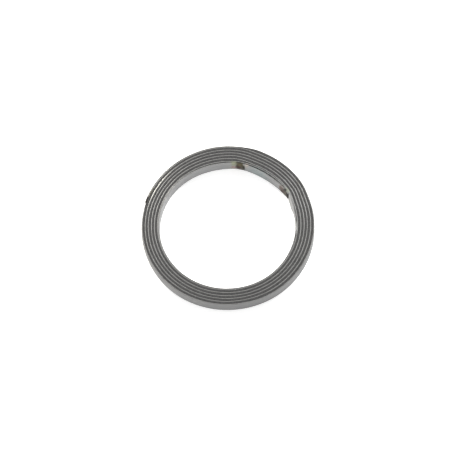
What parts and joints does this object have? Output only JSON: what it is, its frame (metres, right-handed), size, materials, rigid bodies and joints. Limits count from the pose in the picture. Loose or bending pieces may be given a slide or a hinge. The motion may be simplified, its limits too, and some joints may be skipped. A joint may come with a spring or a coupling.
{
  "type": "exhaust gasket",
  "caption": "Flat spiral-wound ring gasket for an exhaust pipe joint: a thin steel strip wound on edge with a graphite ribbon between its turns.",
  "frame": {"origin": "on the ring's axis, in the plane of its lower face", "axes": "+Z along the ring's axis, up out of the upper face; +X and +Y in the plane of the ring, with the strip's inner start about 24 degrees round from +X towards +Y"},
  "size_m": [0.0564, 0.0565, 0.0045],
  "materials": {
    "stainless_strip": "satin cold-rolled stainless steel",
    "graphite_ribbon": "dull compressed graphite"
  },
  "bodies": {
    "root": {"metal_winding": "stainless_strip", "graphite_filler": "graphite_ribbon"}
  },
  "joints": []
}
